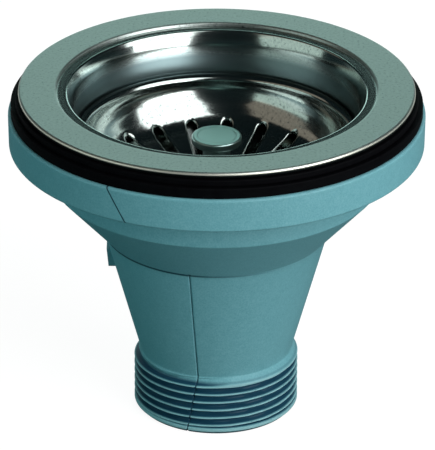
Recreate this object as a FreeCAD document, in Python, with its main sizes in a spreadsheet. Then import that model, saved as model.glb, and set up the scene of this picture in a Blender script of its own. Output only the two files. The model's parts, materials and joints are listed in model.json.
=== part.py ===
import FreeCAD, Part
import math
import operator
import os
import types

import Sketcher
from FreeCAD import Placement, Rotation, Vector

# Basket strainer waste for a 90 mm sink hole: a moulded body, a pressed cup and a lift-out basket.
# Millimetres, +Z up, the outlet's end face on z = 0, the waste's axis on Z, the front at -Y.

# Driving sizes: name, value, what it is
SIZES = [
    ("total_height", "100", "flange top above the outlet's end"),
    # pressed cup
    ("cup_sheet", "0.8", "sheet of the cup"),
    ("mouth_r", "43", "mouth of the cup, at the ledge"),
    ("ledge_wide", "3", "ledge between the mouth and the flange"),
    ("step_drop", "1", "ledge below the flange"),
    ("flange_wide", "11", "flat flange, ledge to rim"),
    ("throat_set", "1.8", "throat of the flared mouth, in from its edge"),
    ("throat_drop", "4", "throat below the ledge"),
    ("throat_bend", "15", "bend of the flare at the throat"),
    ("cup_taper", "2.5", "cup wall's knuckle in from the mouth"),
    ("cup_depth", "39", "cup floor below the flange"),
    ("cup_knuckle", "14", "knuckle above the cup floor"),
    ("cup_floor_r", "27", "flat of the cup floor"),
    ("cup_bend", "6", "inner bend at the knuckle and floor"),
    ("lip_bend", "0.7", "outer bend of rim, step and mouth"),
    ("drain_r", "3.5", "drain hole"),
    ("drain_circle_r", "15.5", "circle of drain holes"),
    ("drain_count", "8", "drain holes"),
    # gaskets
    ("gasket_set", "2.1", "flange gasket's edge in from the collar's"),
    ("body_gasket_set", "0.8", "body gasket's edge in from the collar's"),
    ("gasket_gap", "1", "flange gasket to cup wall"),
    ("flange_gasket_high", "2", "flange gasket, thickness"),
    ("body_gasket_high", "3.2", "body gasket, thickness"),
    # moulded body
    ("body_wall", "3", "wall of the body"),
    ("body_room", "0.6", "cup wall to the body's mouth"),
    ("skirt_gap", "9.8", "groove between the band and the skirt"),
    ("skirt_wall", "2.6", "skirt of the collar"),
    ("collar_draft", "0.2", "skirt's edge in from the collar's top"),
    ("collar_high", "10.1", "collar top to the skirt's edge"),
    ("band_high", "10.75", "skirt's edge to the band's edge"),
    ("waist_drop", "5", "waist below the cup floor"),
    ("waist_step", "2", "waist to the top of the cone"),
    ("waist_out", "0.7", "waist out from the top of the cone"),
    ("cone_top_r", "32", "cone at its top"),
    ("outlet_r", "23.9", "outlet thread, crest"),
    ("outlet_step", "1.8", "thread's crest out from the foot of the cone"),
    ("outlet_wall", "4", "outlet's wall at the thread"),
    ("outlet_long", "17", "threaded length"),
    ("outlet_chamfer", "1.1", "lead-in of the thread"),
    ("body_edge", "0.8", "rounding of the body's edges"),
    ("web_wall", "2.4", "webs that carry the hub"),
    ("web_high", "12", "height of the webs"),
    ("web_drop", "8", "webs below the hub's top"),
    ("web_count", "4", "webs"),
    ("hub_wall", "2.47", "hub round the insert"),
    ("lug_wide", "8", "lug on the cone, along the wall"),
    ("lug_high", "5.6", "lug, height"),
    ("lug_drop", "3.5", "lug below the top of the cone"),
    ("lug_proud_low", "1.7", "lug's lower edge, off the cone"),
    ("lug_proud_top", "0.75", "lug's upper edge, off the cone"),
    # fixing screw
    ("insert_r", "7", "brass insert"),
    ("insert_long", "14", "brass insert, length"),
    ("screw_r", "5", "fixing screw's thread, crest"),
    ("screw_long", "17", "fixing screw under its head"),
    ("screw_chamfer", "0.8", "screw's tip"),
    ("head_r", "9", "screw's head"),
    ("head_high", "1.6", "head, thickness"),
    ("coin_slot_wide", "2", "slot across the head"),
    ("coin_slot_deep", "0.9", "slot's depth"),
    ("washer_edge", "0.4", "washer out from the head"),
    ("washer_high", "0.8", "washer, thickness"),
    ("hole_gap", "0.3", "holes round the screw and the pin"),
    ("fit_gap", "0.03", "close fits"),
    # basket
    ("basket_sheet", "0.7", "sheet of the basket"),
    ("rim_gap", "2.7", "basket rim in from the cup's mouth"),
    ("rim_wide", "2.3", "flat of the rim"),
    ("rim_turn", "2.2", "rim's turned edge, height"),
    ("basket_depth", "18.8", "basket floor below its rim"),
    ("basket_taper", "1.4", "basket wall's knuckle in from the rim"),
    ("basket_knuckle", "6.2", "knuckle above the basket floor"),
    ("basket_slope_wide", "16.6", "sloping bottom, floor to knuckle"),
    ("basket_bend", "9.5", "inner bend at the knuckle and floor"),
    ("rim_bend", "0.9", "bend of the rim's outer edge"),
    ("rim_in_bend", "1.4", "bend of the rim's inner edge"),
    ("slot_wide", "3.1", "slot"),
    ("slot_start", "0.6", "slots' inner end out from the floor"),
    ("slot_stop", "1.8", "slots' outer end in from the knuckle"),
    ("slot_count", "20", "slots"),
    ("slot_angle", "12.8", "first slot from +X, degrees"),
    # knob, pin and seal
    ("knob_r", "7.2", "knob"),
    ("knob_high", "2.5", "knob, thickness"),
    ("knob_rise", "17.3", "knob's top above the basket floor"),
    ("knob_edge", "0.7", "rounding of the knob"),
    ("stem_r", "4", "stem of the knob"),
    ("stem_bore", "9", "pin's depth in the stem"),
    ("pin_r", "2.9", "sliding pin"),
    ("pin_reach", "14", "pin below the cup floor"),
    ("pin_chamfer", "0.6", "pin's tip"),
    ("pin_run_gap", "0.08", "pin in the screw's bore"),
    ("ring_thick", "0.8", "section of the pin's rubber ring"),
    ("ring_above_tip", "5", "rubber ring above the pin's tip"),
    ("ring_proud", "0.03", "rubber ring off the pin"),
    ("seal_edge", "3", "plug seal in from the edge of the cup floor"),
    ("seal_disc_high", "2", "disc of the seal"),
    ("seal_lip_wide", "2.5", "lip of the seal"),
    ("seal_bevel", "1.6", "bevel of the seal's upper edge"),
    ("seal_washer_r", "7.5", "washer under the seal"),
    ("seal_washer_high", "0.8", "that washer, thickness"),
    ("clip_r", "5", "retaining clip"),
    ("clip_gap", "0.35", "clip above the screw's head"),
    ("clip_high", "0.55", "clip, thickness"),
    ("clip_deep", "0.6", "clip's groove in the pin"),
    ("clip_mouth", "3.6", "clip's open side"),
]

# Tangent of 22.5 degrees: shifts a wall's inner corner so that the wall stays even round a 45 degree turn
MITRE = 0.414
# Tangent of 33 degrees: the same for the turn from the ledge into the flared mouth
FLARE_MITRE = 0.65
# How near an edge has to lie to the ring that names it
EDGE_NEAR = 0.001

OPERATIONS = {"+": operator.add, "-": operator.sub, "*": operator.mul, "/": operator.truediv}
IN_LINE = {"X": "Vertical", "Y": "Horizontal"}


class Size:
    """A number together with the expression that gives it from the sheet."""

    def __init__(self, value, text):
        self.value = value
        self.text = text

    def __add__(self, other):
        return combine(self, "+", other)

    def __sub__(self, other):
        return combine(self, "-", other)

    def __mul__(self, other):
        return combine(self, "*", other)

    def __truediv__(self, other):
        return combine(self, "/", other)

    def __neg__(self):
        return self * -1


def combine(left, sign, right):
    """Join two sizes, or a size and a bare number, into one."""
    if not isinstance(right, Size):
        right = Size(right, f"({right})")
    value = OPERATIONS[sign](left.value, right.value)
    return Size(value, f"({left.text} {sign} {right.text})")


def fill_sheet():
    """Write the driving sizes to the sheet and return them by name."""
    sheet = doc.addObject("Spreadsheet::Sheet", "sizes")
    named = types.SimpleNamespace()
    for row, (alias, value, meaning) in enumerate(SIZES, 1):
        sheet.set(f"A{row}", alias)
        sheet.set(f"B{row}", value)
        sheet.set(f"C{row}", meaning)
        sheet.setAlias(f"B{row}", alias)
        setattr(named, alias, Size(float(value), f"sizes.{alias}"))
    return named


def new_body(name):
    """One sub-part, which stands where it is drawn."""
    body = doc.addObject("PartDesign::Body", name)
    body.Label = name
    body.Placement = Placement()
    return body


def datum(body, role):
    """The body's own origin plane or axis."""
    return next(item for item in body.Origin.OriginFeatures if item.Role == role)


def new_sketch(body, name, role, height=None):
    """A sketch on an origin plane, or that far above it."""
    sketch = body.newObject("Sketcher::SketchObject", name)
    sketch.AttachmentSupport = [(datum(body, role), "")]
    sketch.MapMode = "FlatFace"
    if height is not None:
        sketch.setExpression("AttachmentOffset.Base.z", height.text)
    return sketch


def tie(sketch, line, end, axis, place):
    """Hold one coordinate of a point at its size from the origin."""
    if place.value == 0:
        sketch.addConstraint(Sketcher.Constraint(IN_LINE[axis], -1, 1, line, end))
        return
    held = sketch.addConstraint(Sketcher.Constraint("Distance" + axis, -1, 1, line, end, place.value))
    sketch.setExpression(f"Constraints[{held}]", place.text)


def outline(sketch, corners):
    """A closed outline of straight lines through the corners, each one held from the origin."""
    places = [Vector(across.value, along.value, 0) for across, along in corners]
    for number, start in enumerate(places):
        end = places[(number + 1) % len(places)]
        sketch.addGeometry(Part.LineSegment(start, end))
    for number, (across, along) in enumerate(corners):
        previous = (number - 1) % len(corners)
        sketch.addConstraint(Sketcher.Constraint("Coincident", previous, 2, number, 1))
        tie(sketch, number, 1, "X", across)
        tie(sketch, number, 1, "Y", along)


def circle(sketch, across, along, radius):
    """A circle whose centre is held from the origin."""
    centre = Vector(across.value, along.value, 0)
    ring = sketch.addGeometry(Part.Circle(centre, Vector(0, 0, 1), radius.value))
    tie(sketch, ring, 3, "X", across)
    tie(sketch, ring, 3, "Y", along)
    held = sketch.addConstraint(Sketcher.Constraint("Radius", ring, radius.value))
    sketch.setExpression(f"Constraints[{held}]", radius.text)


def round_ended_slot(sketch, inner, outer, width):
    """A slot along the X axis from inner to outer, with half-round ends."""
    radius = width / 2
    near = Vector((inner + radius).value, 0, 0)
    far = Vector((outer - radius).value, 0, 0)
    up = Vector(0, radius.value, 0)
    normal = Vector(0, 0, 1)
    quarter = math.pi / 2
    far_circle = Part.Circle(far, normal, radius.value)
    near_circle = Part.Circle(near, normal, radius.value)
    far_end = sketch.addGeometry(Part.ArcOfCircle(far_circle, -quarter, quarter))
    near_end = sketch.addGeometry(Part.ArcOfCircle(near_circle, quarter, 3 * quarter))
    upper = sketch.addGeometry(Part.LineSegment(far + up, near + up))
    lower = sketch.addGeometry(Part.LineSegment(near - up, far - up))
    sketch.addConstraint(Sketcher.Constraint("Tangent", far_end, 2, upper, 1))
    sketch.addConstraint(Sketcher.Constraint("Tangent", upper, 2, near_end, 1))
    sketch.addConstraint(Sketcher.Constraint("Tangent", near_end, 2, lower, 1))
    sketch.addConstraint(Sketcher.Constraint("Tangent", lower, 2, far_end, 1))
    tie(sketch, near_end, 3, "X", inner + radius)
    tie(sketch, near_end, 3, "Y", zero)
    tie(sketch, far_end, 3, "X", outer - radius)
    tie(sketch, far_end, 3, "Y", zero)
    held = sketch.addConstraint(Sketcher.Constraint("Radius", far_end, radius.value))
    sketch.setExpression(f"Constraints[{held}]", radius.text)


def turn(body, name, corners, kind="Revolution"):
    """A ring turned about the waste's axis from its section, added or, as a Groove, cut."""
    sketch = new_sketch(body, name + "_section", "XZ_Plane")
    outline(sketch, corners)
    before = volume(body)
    ring = body.newObject("PartDesign::" + kind, name)
    ring.Profile = sketch
    ring.ReferenceAxis = (sketch, ["V_Axis"])
    ring.Angle = 360
    if kind == "Groove":
        must_shrink(body, name, before)


def pad(body, name, sketch, length):
    """Grow a sketch evenly to both sides of its plane."""
    grown = body.newObject("PartDesign::Pad", name)
    grown.Profile = sketch
    grown.SideType = "Symmetric"
    grown.setExpression("Length", length.text)
    return grown


def cut(body, name, sketch, depth=None):
    """Cut a sketch down to a depth, or right through both ways."""
    before = volume(body)
    hole = body.newObject("PartDesign::Pocket", name)
    hole.Profile = sketch
    if depth is None:
        hole.Type = "ThroughAll"
        hole.SideType = "Symmetric"
    else:
        hole.setExpression("Length", depth.text)
    must_shrink(body, name, before)
    return hole


def repeat(body, name, feature, count):
    """Repeat a feature evenly about the waste's axis."""
    pattern = body.newObject("PartDesign::PolarPattern", name)
    pattern.Originals = [feature]
    pattern.Axis = (datum(body, "Z_Axis"), [""])
    pattern.Angle = 360
    pattern.setExpression("Occurrences", count.text)
    body.Tip = pattern


def set_round(body, angle):
    """Turn a finished sub-part about the waste's axis."""
    body.Placement = Placement(Vector(), Rotation(Vector(0, 0, 1), angle.value))
    body.setExpression("Placement.Rotation.Angle", angle.text)


def round_rings(body, name, radius, rings):
    """Round the circular edges that lie at the given radius and height."""
    doc.recompute()
    base = body.Tip
    wanted = []
    for number, edge in enumerate(base.Shape.Edges, 1):
        if not isinstance(edge.Curve, Part.Circle):
            continue
        for across, along in rings:
            same_radius = abs(edge.Curve.Radius - across.value) < EDGE_NEAR
            if same_radius and abs(edge.Curve.Center.z - along.value) < EDGE_NEAR:
                wanted.append(f"Edge{number}")
    if len(wanted) != len(rings):
        raise RuntimeError(f"{body.Label}: {name} found {len(wanted)} of {len(rings)} edges")
    rounding = body.newObject("PartDesign::Fillet", name)
    rounding.Base = (base, wanted)
    rounding.setExpression("Radius", radius.text)


def volume(body):
    """The body's volume so far."""
    doc.recompute()
    return body.Shape.Volume if body.Tip else 0.0


def must_shrink(body, name, before):
    """A cut that misses its solid shows no error, so the volumes are compared."""
    if not volume(body) < before:
        raise RuntimeError(f"{body.Label}: {name} cuts nothing")


def cone_r(height):
    """The cone's outer radius at a height, on the line from the thread to the cone's top."""
    slope = (size.cone_top_r - cone_low_r) / (cone_top - size.outlet_long)
    return cone_low_r + (height - size.outlet_long) * slope


def make_waste_body():
    """The moulding: one turned shell, with a hub on webs inside it and a lug on its cone."""
    body = new_body("waste_body")
    wall = size.body_wall
    channel_top = collar_top - wall
    turn(body, "shell", [
        (outlet_bore_r, zero),
        (size.outlet_r - size.outlet_chamfer, zero),
        (size.outlet_r, size.outlet_chamfer),
        (size.outlet_r, size.outlet_long),
        (cone_low_r, size.outlet_long),
        (size.cone_top_r, cone_top),
        (waist_r, waist),
        (band_r, band_edge),
        (band_r, channel_top),
        (skirt_in_r, channel_top),
        (skirt_in_r, skirt_edge),
        (collar_low_r, skirt_edge),
        (collar_r, collar_top),
        (body_mouth_r, collar_top),
        (body_mouth_r, band_edge + wall * MITRE),
        (waist_r - wall, waist + wall * MITRE),
        (size.cone_top_r - wall, cone_top),
        (outlet_bore_r, size.outlet_long),
    ])
    round_rings(body, "edges", size.body_edge, [
        (collar_r, collar_top),
        (collar_low_r, skirt_edge),
        (band_r, band_edge),
    ])
    web_top = hub_top - size.web_drop
    web_foot = web_top - size.web_high
    web_outline = new_sketch(body, "web_outline", "XZ_Plane")
    outline(web_outline, [
        (zero, web_foot),
        (cone_r(web_foot) - wall / 2, web_foot),
        (cone_r(web_top) - wall / 2, web_top),
        (zero, web_top),
    ])
    web = pad(body, "web", web_outline, size.web_wall)
    repeat(body, "webs", web, size.web_count)
    seat_r = size.insert_r + size.fit_gap
    hub_r = seat_r + size.hub_wall
    turn(body, "hub", [(zero, web_foot), (hub_r, web_foot), (hub_r, hub_top), (zero, hub_top)])
    insert_foot = hub_top - size.insert_long
    turn(body, "insert_seat", [
        (zero, web_foot),
        (screw_hole_r, web_foot),
        (screw_hole_r, insert_foot),
        (seat_r, insert_foot),
        (seat_r, hub_top),
        (zero, hub_top),
    ], "Groove")
    lug_top = cone_top - size.lug_drop
    lug_foot = lug_top - size.lug_high
    lug_outline = new_sketch(body, "lug_outline", "XZ_Plane")
    outline(lug_outline, [
        (-(cone_r(lug_foot) + size.lug_proud_low), lug_foot),
        (-(cone_r(lug_foot) - wall / 2), lug_foot),
        (-(cone_r(lug_top) - wall / 2), lug_top),
        (-(cone_r(lug_top) + size.lug_proud_top), lug_top),
    ])
    pad(body, "lug", lug_outline, size.lug_wide)
    return body


def make_strainer_cup():
    """The pressed cup: rim turned down, flat flange, step, flared mouth, wall, knuckle and pierced floor."""
    body = new_body("strainer_cup")
    sheet = size.cup_sheet
    flange = size.total_height
    ledge = flange - size.step_drop
    throat = ledge - size.throat_drop
    knuckle = cup_floor + size.cup_knuckle
    rim_in_r = flange_r - sheet
    under_ledge = ledge - sheet
    turn(body, "pressing", [
        (flange_r, seat_top),
        (flange_r, flange),
        (step_r, flange),
        (step_r, ledge),
        (size.mouth_r, ledge),
        (throat_r, throat),
        (cup_low_r, knuckle),
        (size.cup_floor_r, cup_floor),
        (screw_hole_r, cup_floor),
        (screw_hole_r, hub_top),
        (size.cup_floor_r + sheet * MITRE, hub_top),
        (cup_low_r + sheet, knuckle - sheet * MITRE),
        (throat_r + sheet, throat),
        (size.mouth_r + sheet * FLARE_MITRE, under_ledge),
        (step_r + sheet, under_ledge),
        (step_r + sheet, flange - sheet),
        (rim_in_r, flange - sheet),
        (rim_in_r, seat_top),
    ])
    round_rings(body, "floor_bends", size.cup_bend, [
        (cup_low_r, knuckle),
        (size.cup_floor_r, cup_floor),
    ])
    round_rings(body, "floor_outer_bends", size.cup_bend + sheet, [
        (cup_low_r + sheet, knuckle - sheet * MITRE),
        (size.cup_floor_r + sheet * MITRE, hub_top),
    ])
    round_rings(body, "flare", size.throat_bend, [(throat_r, throat)])
    round_rings(body, "outer_flare", size.throat_bend - sheet, [(throat_r + sheet, throat)])
    round_rings(body, "lip_bends", size.lip_bend, [
        (flange_r, flange),
        (step_r, flange),
        (size.mouth_r, ledge),
    ])
    drain = new_sketch(body, "drain_outline", "XY_Plane")
    circle(drain, size.drain_circle_r, zero, size.drain_r)
    hole = cut(body, "drain", drain)
    repeat(body, "drains", hole, size.drain_count)
    set_round(body, half_turn / size.drain_count)
    return body


def make_flange_gasket():
    """The thin gasket between the flange and the sink's top."""
    body = new_body("flange_gasket")
    inner_r = size.mouth_r + size.cup_sheet + size.gasket_gap
    foot = seat_top - size.flange_gasket_high
    turn(body, "washer", [
        (inner_r, foot),
        (flange_gasket_r, foot),
        (flange_gasket_r, seat_top),
        (inner_r, seat_top),
    ])
    return body


def make_body_gasket():
    """The thick gasket between the collar and the sink's underside."""
    body = new_body("body_gasket")
    head = collar_top + size.body_gasket_high
    turn(body, "washer", [
        (body_mouth_r, collar_top),
        (body_gasket_r, collar_top),
        (body_gasket_r, head),
        (body_mouth_r, head),
    ])
    return body


def make_brass_insert():
    """The threaded nut in the hub, flush with its top."""
    body = new_body("brass_insert")
    foot = hub_top - size.insert_long
    bore_r = size.screw_r + size.fit_gap
    turn(body, "nut", [(bore_r, foot), (size.insert_r, foot), (size.insert_r, hub_top), (bore_r, hub_top)])
    return body


def make_screw_washer():
    """The washer between the screw's head and the cup floor."""
    body = new_body("screw_washer")
    outer_r = size.head_r + size.washer_edge
    turn(body, "washer", [
        (screw_hole_r, cup_floor),
        (outer_r, cup_floor),
        (outer_r, head_under),
        (screw_hole_r, head_under),
    ])
    return body


def make_fixing_screw():
    """The hollow screw that holds the cup down and guides the basket's pin."""
    body = new_body("fixing_screw")
    bore_r = size.pin_r + size.pin_run_gap
    tip = head_under - size.screw_long
    turn(body, "blank", [
        (bore_r, tip),
        (size.screw_r - size.screw_chamfer, tip),
        (size.screw_r, tip + size.screw_chamfer),
        (size.screw_r, head_under),
        (size.head_r, head_under),
        (size.head_r, head_top),
        (bore_r, head_top),
    ])
    coin_slot = new_sketch(body, "coin_slot_outline", "XY_Plane", head_top)
    half_wide = size.coin_slot_wide / 2
    outline(coin_slot, [
        (-size.head_r, -half_wide),
        (size.head_r, -half_wide),
        (size.head_r, half_wide),
        (-size.head_r, half_wide),
    ])
    cut(body, "coin_slot", coin_slot, size.coin_slot_deep)
    return body


def make_basket():
    """The pressed basket: turned rim, tapered wall, sloping bottom with radial slots, flat floor."""
    body = new_body("basket")
    sheet = size.basket_sheet
    rim = basket_floor + size.basket_depth
    rim_r = size.mouth_r - size.rim_gap
    rim_in_r = rim_r - size.rim_wide
    low_r = rim_in_r - size.basket_taper
    floor_r = low_r - size.basket_slope_wide
    knuckle = basket_floor + size.basket_knuckle
    turn(body, "pressing", [
        (pin_hole_r, basket_floor),
        (floor_r, basket_floor),
        (low_r, knuckle),
        (rim_in_r, rim),
        (rim_r, rim),
        (rim_r, rim - size.rim_turn),
        (rim_r - sheet, rim - size.rim_turn),
        (rim_r - sheet, rim - sheet),
        (rim_in_r + sheet, rim - sheet),
        (low_r + sheet, knuckle - sheet * MITRE),
        (floor_r, basket_under),
        (pin_hole_r, basket_under),
    ])
    round_rings(body, "bends", size.basket_bend, [
        (low_r, knuckle),
        (floor_r, basket_floor),
    ])
    round_rings(body, "outer_bends", size.basket_bend + sheet, [
        (low_r + sheet, knuckle - sheet * MITRE),
        (floor_r, basket_under),
    ])
    round_rings(body, "rim_bend", size.rim_bend, [(rim_r, rim)])
    round_rings(body, "rim_in_bend", size.rim_in_bend, [(rim_in_r, rim)])
    slot_outline = new_sketch(body, "slot_outline", "XY_Plane")
    round_ended_slot(slot_outline, floor_r + size.slot_start, low_r - size.slot_stop, size.slot_wide)
    slot = cut(body, "slot", slot_outline)
    repeat(body, "slots", slot, size.slot_count)
    set_round(body, size.slot_angle)
    return body


def make_basket_knob():
    """The turned knob on its stem, which is bored for the pin."""
    body = new_body("basket_knob")
    top = basket_floor + size.knob_rise
    under = top - size.knob_high
    bore_r = size.pin_r + size.fit_gap
    turn(body, "turning", [
        (bore_r, basket_floor),
        (size.stem_r, basket_floor),
        (size.stem_r, under),
        (size.knob_r, under),
        (size.knob_r, top),
        (zero, top),
        (zero, pin_top),
        (bore_r, pin_top),
    ])
    round_rings(body, "edges", size.knob_edge, [(size.knob_r, top), (size.knob_r, under)])
    return body


def make_basket_pin():
    """The pin from the knob's stem down into the screw's bore, grooved for the clip and the ring."""
    body = new_body("basket_pin")
    clip_groove_r = size.pin_r - size.clip_deep
    turn(body, "turning", [
        (zero, pin_tip),
        (size.pin_r - size.pin_chamfer, pin_tip),
        (size.pin_r, pin_tip + size.pin_chamfer),
        (size.pin_r, ring_level - size.ring_thick / 2 - size.fit_gap),
        (ring_groove_r, ring_level - size.ring_thick / 2 - size.fit_gap),
        (ring_groove_r, ring_level + size.ring_thick / 2 + size.fit_gap),
        (size.pin_r, ring_level + size.ring_thick / 2 + size.fit_gap),
        (size.pin_r, clip_foot - size.fit_gap),
        (clip_groove_r, clip_foot - size.fit_gap),
        (clip_groove_r, clip_head + size.fit_gap),
        (size.pin_r, clip_head + size.fit_gap),
        (size.pin_r, pin_top),
        (zero, pin_top),
    ])
    return body


def make_pin_ring():
    """The rubber ring in the pin's lower groove."""
    body = new_body("pin_ring")
    section = new_sketch(body, "section", "XZ_Plane")
    circle(section, size.pin_r + size.ring_proud - size.ring_thick / 2, ring_level, size.ring_thick / 2)
    ring = body.newObject("PartDesign::Revolution", "ring")
    ring.Profile = section
    ring.ReferenceAxis = (section, ["V_Axis"])
    ring.Angle = 360
    return body


def make_plug_seal():
    """The rubber seal: a disc under the basket with a lip that stands on the cup floor."""
    body = new_body("plug_seal")
    disc_foot = basket_under - size.seal_disc_high
    outer_r = size.cup_floor_r - size.seal_edge
    lip_in_r = outer_r - size.seal_lip_wide
    turn(body, "moulding", [
        (pin_hole_r, disc_foot),
        (lip_in_r, disc_foot),
        (lip_in_r, cup_floor),
        (outer_r, cup_floor),
        (outer_r, basket_under - size.seal_bevel),
        (outer_r - size.seal_bevel, basket_under),
        (pin_hole_r, basket_under),
    ])
    return body


def make_seal_washer():
    """The washer that the clip holds up against the seal."""
    body = new_body("seal_washer")
    head = clip_head + size.seal_washer_high
    turn(body, "washer", [
        (pin_hole_r, clip_head),
        (size.seal_washer_r, clip_head),
        (size.seal_washer_r, head),
        (pin_hole_r, head),
    ])
    return body


def make_retaining_clip():
    """The open clip in the pin's upper groove."""
    body = new_body("retaining_clip")
    inner_r = size.pin_r - size.clip_deep + size.fit_gap
    turn(body, "ring", [
        (inner_r, clip_foot),
        (size.clip_r, clip_foot),
        (size.clip_r, clip_head),
        (inner_r, clip_head),
    ])
    mouth = new_sketch(body, "mouth_outline", "XY_Plane")
    half_wide = size.clip_mouth / 2
    outline(mouth, [
        (zero, -half_wide),
        (size.clip_r, -half_wide),
        (size.clip_r, half_wide),
        (zero, half_wide),
    ])
    cut(body, "mouth", mouth)
    return body


def check(bodies):
    """Stop if anything in the document failed or a sub-part's shape isn't one sound solid."""
    doc.recompute()
    for item in doc.Objects:
        if {"Invalid", "Error"} & set(item.State):
            raise RuntimeError(f"{item.Label} failed: {item.State}")
    for body in bodies:
        if body.Shape.isNull() or not body.Shape.isValid() or len(body.Shape.Solids) != 1:
            raise RuntimeError(f"{body.Label} is not one sound solid")


def write(bodies):
    """One file for each sub-part, named by its label."""
    os.makedirs("parts", exist_ok=True)
    for body in bodies:
        body.Shape.exportStep(f"parts/{body.Label}.step")


doc = FreeCAD.newDocument("basket_strainer_waste")
size = fill_sheet()
zero = Size(0.0, "0")
half_turn = Size(180.0, "180")

# Radii from the cup's mouth out to the flange and the collar
step_r = size.mouth_r + size.ledge_wide
flange_r = step_r + size.flange_wide
throat_r = size.mouth_r - size.throat_set
cup_low_r = size.mouth_r - size.cup_taper
body_mouth_r = size.mouth_r + size.cup_sheet + size.body_room
band_r = body_mouth_r + size.body_wall
skirt_in_r = band_r + size.skirt_gap
collar_low_r = skirt_in_r + size.skirt_wall
collar_r = collar_low_r + size.collar_draft
flange_gasket_r = collar_r - size.gasket_set
body_gasket_r = collar_r - size.body_gasket_set

# Radii of the cone and its outlet, and of the holes round the screw and the pin
waist_r = size.cone_top_r + size.waist_out
cone_low_r = size.outlet_r - size.outlet_step
outlet_bore_r = size.outlet_r - size.outlet_wall
screw_hole_r = size.screw_r + size.hole_gap
pin_hole_r = size.pin_r + size.hole_gap

# Levels from the flange down through the gaskets to the band
seat_top = size.total_height - size.step_drop - size.cup_sheet
collar_top = seat_top - size.flange_gasket_high - size.body_gasket_high
skirt_edge = collar_top - size.collar_high
band_edge = skirt_edge - size.band_high

# Levels from the cup floor: waist, cone, hub and screw under it, clip, seal and basket over it
cup_floor = size.total_height - size.cup_depth
waist = cup_floor - size.waist_drop
cone_top = waist - size.waist_step
hub_top = cup_floor - size.cup_sheet
head_under = cup_floor + size.washer_high
head_top = head_under + size.head_high
clip_foot = head_top + size.clip_gap
clip_head = clip_foot + size.clip_high
basket_under = clip_head + size.seal_washer_high + size.seal_disc_high
basket_floor = basket_under + size.basket_sheet

# Levels along the pin
pin_top = basket_floor + size.stem_bore
pin_tip = cup_floor - size.pin_reach
ring_level = pin_tip + size.ring_above_tip
ring_groove_r = size.pin_r + size.ring_proud - size.ring_thick - size.fit_gap

parts = [
    make_waste_body(),
    make_strainer_cup(),
    make_flange_gasket(),
    make_body_gasket(),
    make_brass_insert(),
    make_screw_washer(),
    make_fixing_screw(),
    make_basket(),
    make_basket_knob(),
    make_basket_pin(),
    make_pin_ring(),
    make_plug_seal(),
    make_seal_washer(),
    make_retaining_clip(),
]
check(parts)
write(parts)
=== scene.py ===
import json
import math

import bmesh
import bpy
import numpy as np
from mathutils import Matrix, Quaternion, Vector


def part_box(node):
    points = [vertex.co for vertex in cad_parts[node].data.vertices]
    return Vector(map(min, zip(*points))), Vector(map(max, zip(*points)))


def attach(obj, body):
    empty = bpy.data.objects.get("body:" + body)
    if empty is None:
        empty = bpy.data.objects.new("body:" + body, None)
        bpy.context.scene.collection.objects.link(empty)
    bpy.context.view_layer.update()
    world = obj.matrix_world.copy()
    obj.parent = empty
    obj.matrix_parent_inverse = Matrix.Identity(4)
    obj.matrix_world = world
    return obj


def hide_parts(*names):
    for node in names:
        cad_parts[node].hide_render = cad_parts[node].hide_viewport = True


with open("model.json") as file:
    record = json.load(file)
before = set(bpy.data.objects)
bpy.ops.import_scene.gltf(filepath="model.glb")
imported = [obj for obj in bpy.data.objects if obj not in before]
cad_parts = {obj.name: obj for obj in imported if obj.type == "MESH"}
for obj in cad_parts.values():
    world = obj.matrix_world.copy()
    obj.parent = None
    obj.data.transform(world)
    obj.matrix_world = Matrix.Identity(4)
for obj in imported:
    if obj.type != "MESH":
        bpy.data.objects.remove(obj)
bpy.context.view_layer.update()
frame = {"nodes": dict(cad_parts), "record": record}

# Basket strainer waste: a moulded body with a threaded outlet, a pressed stainless cup with its
# flange, and a slotted basket that lifts out by its knob. Metres, +Z up, the waste's axis on Z,
# the front at -Y.

MM = 0.001

# Places that the frame gives
body_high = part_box("waste_body")[1]
cup_low, cup_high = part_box("strainer_cup")
basket_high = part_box("basket")[1]
knob_low, knob_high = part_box("basket_knob")
pin_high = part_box("basket_pin")[1]
insert_low, insert_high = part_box("brass_insert")
mount_sizes = {mount["name"]: mount.get("dims", {}) for mount in frame["record"]["mounts"]}

flange_top = cup_high[2]
flange_r = cup_high[0]
flange_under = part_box("flange_gasket")[1][2]
collar_top = body_high[2]
rim_top = basket_high[2]
rim_r = basket_high[0]
basket_floor = knob_low[2]
knob_top = knob_high[2]
knob_r = knob_high[0]
pin_top = pin_high[2]
insert_foot = insert_low[2]
outlet_r = mount_sizes["outlet_thread"]["r_mm"] * MM
outlet_bore_r = mount_sizes["outlet_bore"]["r_mm"] * MM

# Room round a piece that is pressed or moulded into another
fit_gap = 0.03 * MM

# Pressed sheet of the cup
cup_sheet = 0.8 * MM
step_r = 46 * MM
step_drop = 1 * MM
step_lean = 0.15 * MM
step_bend = 0.25 * MM
mouth_r = 43 * MM
throat_r = 41.2 * MM
throat_drop = 4 * MM
throat_bend = 15 * MM
cup_knuckle_r = 40.5 * MM
cup_knuckle_high = 14 * MM
cup_bend = 6 * MM
cup_floor = cup_low[2] + cup_sheet
cup_floor_r = 27 * MM
cup_hole_r = 5.3 * MM
lip_bend = 0.7 * MM
drain_r = 3.5 * MM
drain_circle_r = 15.5 * MM
drain_count = 8
drain_edge = 0.25 * MM
drain_margin_in = 1.5 * MM
drain_margin_out = 2 * MM
gasket_gap = 1 * MM
gasket_edge = 0.45 * MM

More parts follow.
